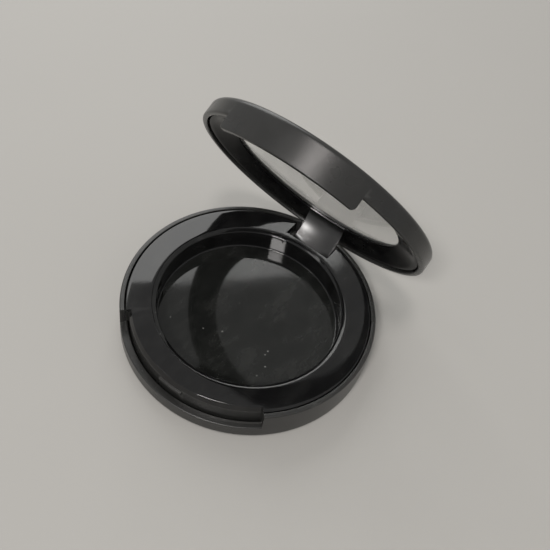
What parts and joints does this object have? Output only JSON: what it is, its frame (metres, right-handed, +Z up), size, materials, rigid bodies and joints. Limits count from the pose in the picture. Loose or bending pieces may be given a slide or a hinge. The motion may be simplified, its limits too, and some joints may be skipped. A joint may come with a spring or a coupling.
{
  "type": "round pocket palette case",
  "caption": "Round flat pocket palette case with one empty pan well, a hinged lid with a clear round window and a thumb cut at the front.",
  "frame": {"origin": "centre of the flat underside that the case stands on", "axes": "+Z up out of the pan well, -Y towards the thumb cut at the front, +Y towards the hinge, +X to the right"},
  "size_m": [0.06, 0.0665, 0.0578],
  "materials": {
    "shell_plastic": "soft matte moulded plastic",
    "tray_plastic": "high gloss moulded plastic",
    "window_clear": "clear moulded sheet",
    "pin_steel": "drawn wire"
  },
  "bodies": {
    "base": {"base_shell": "shell_plastic", "pan_tray": "tray_plastic", "hinge_pin": "pin_steel"},
    "lid": {"lid_shell": "shell_plastic", "lid_frame": "tray_plastic", "window": "window_clear", "hinge_arm": "tray_plastic"}
  },
  "joints": [
    {"name": "lid_hinge", "type": "hinge", "parent": "base", "child": "lid", "pos_m": [0, 0.0268, 0.0038], "axis": [-1, 0, 0], "range_deg": [-61, 29]}
  ]
}
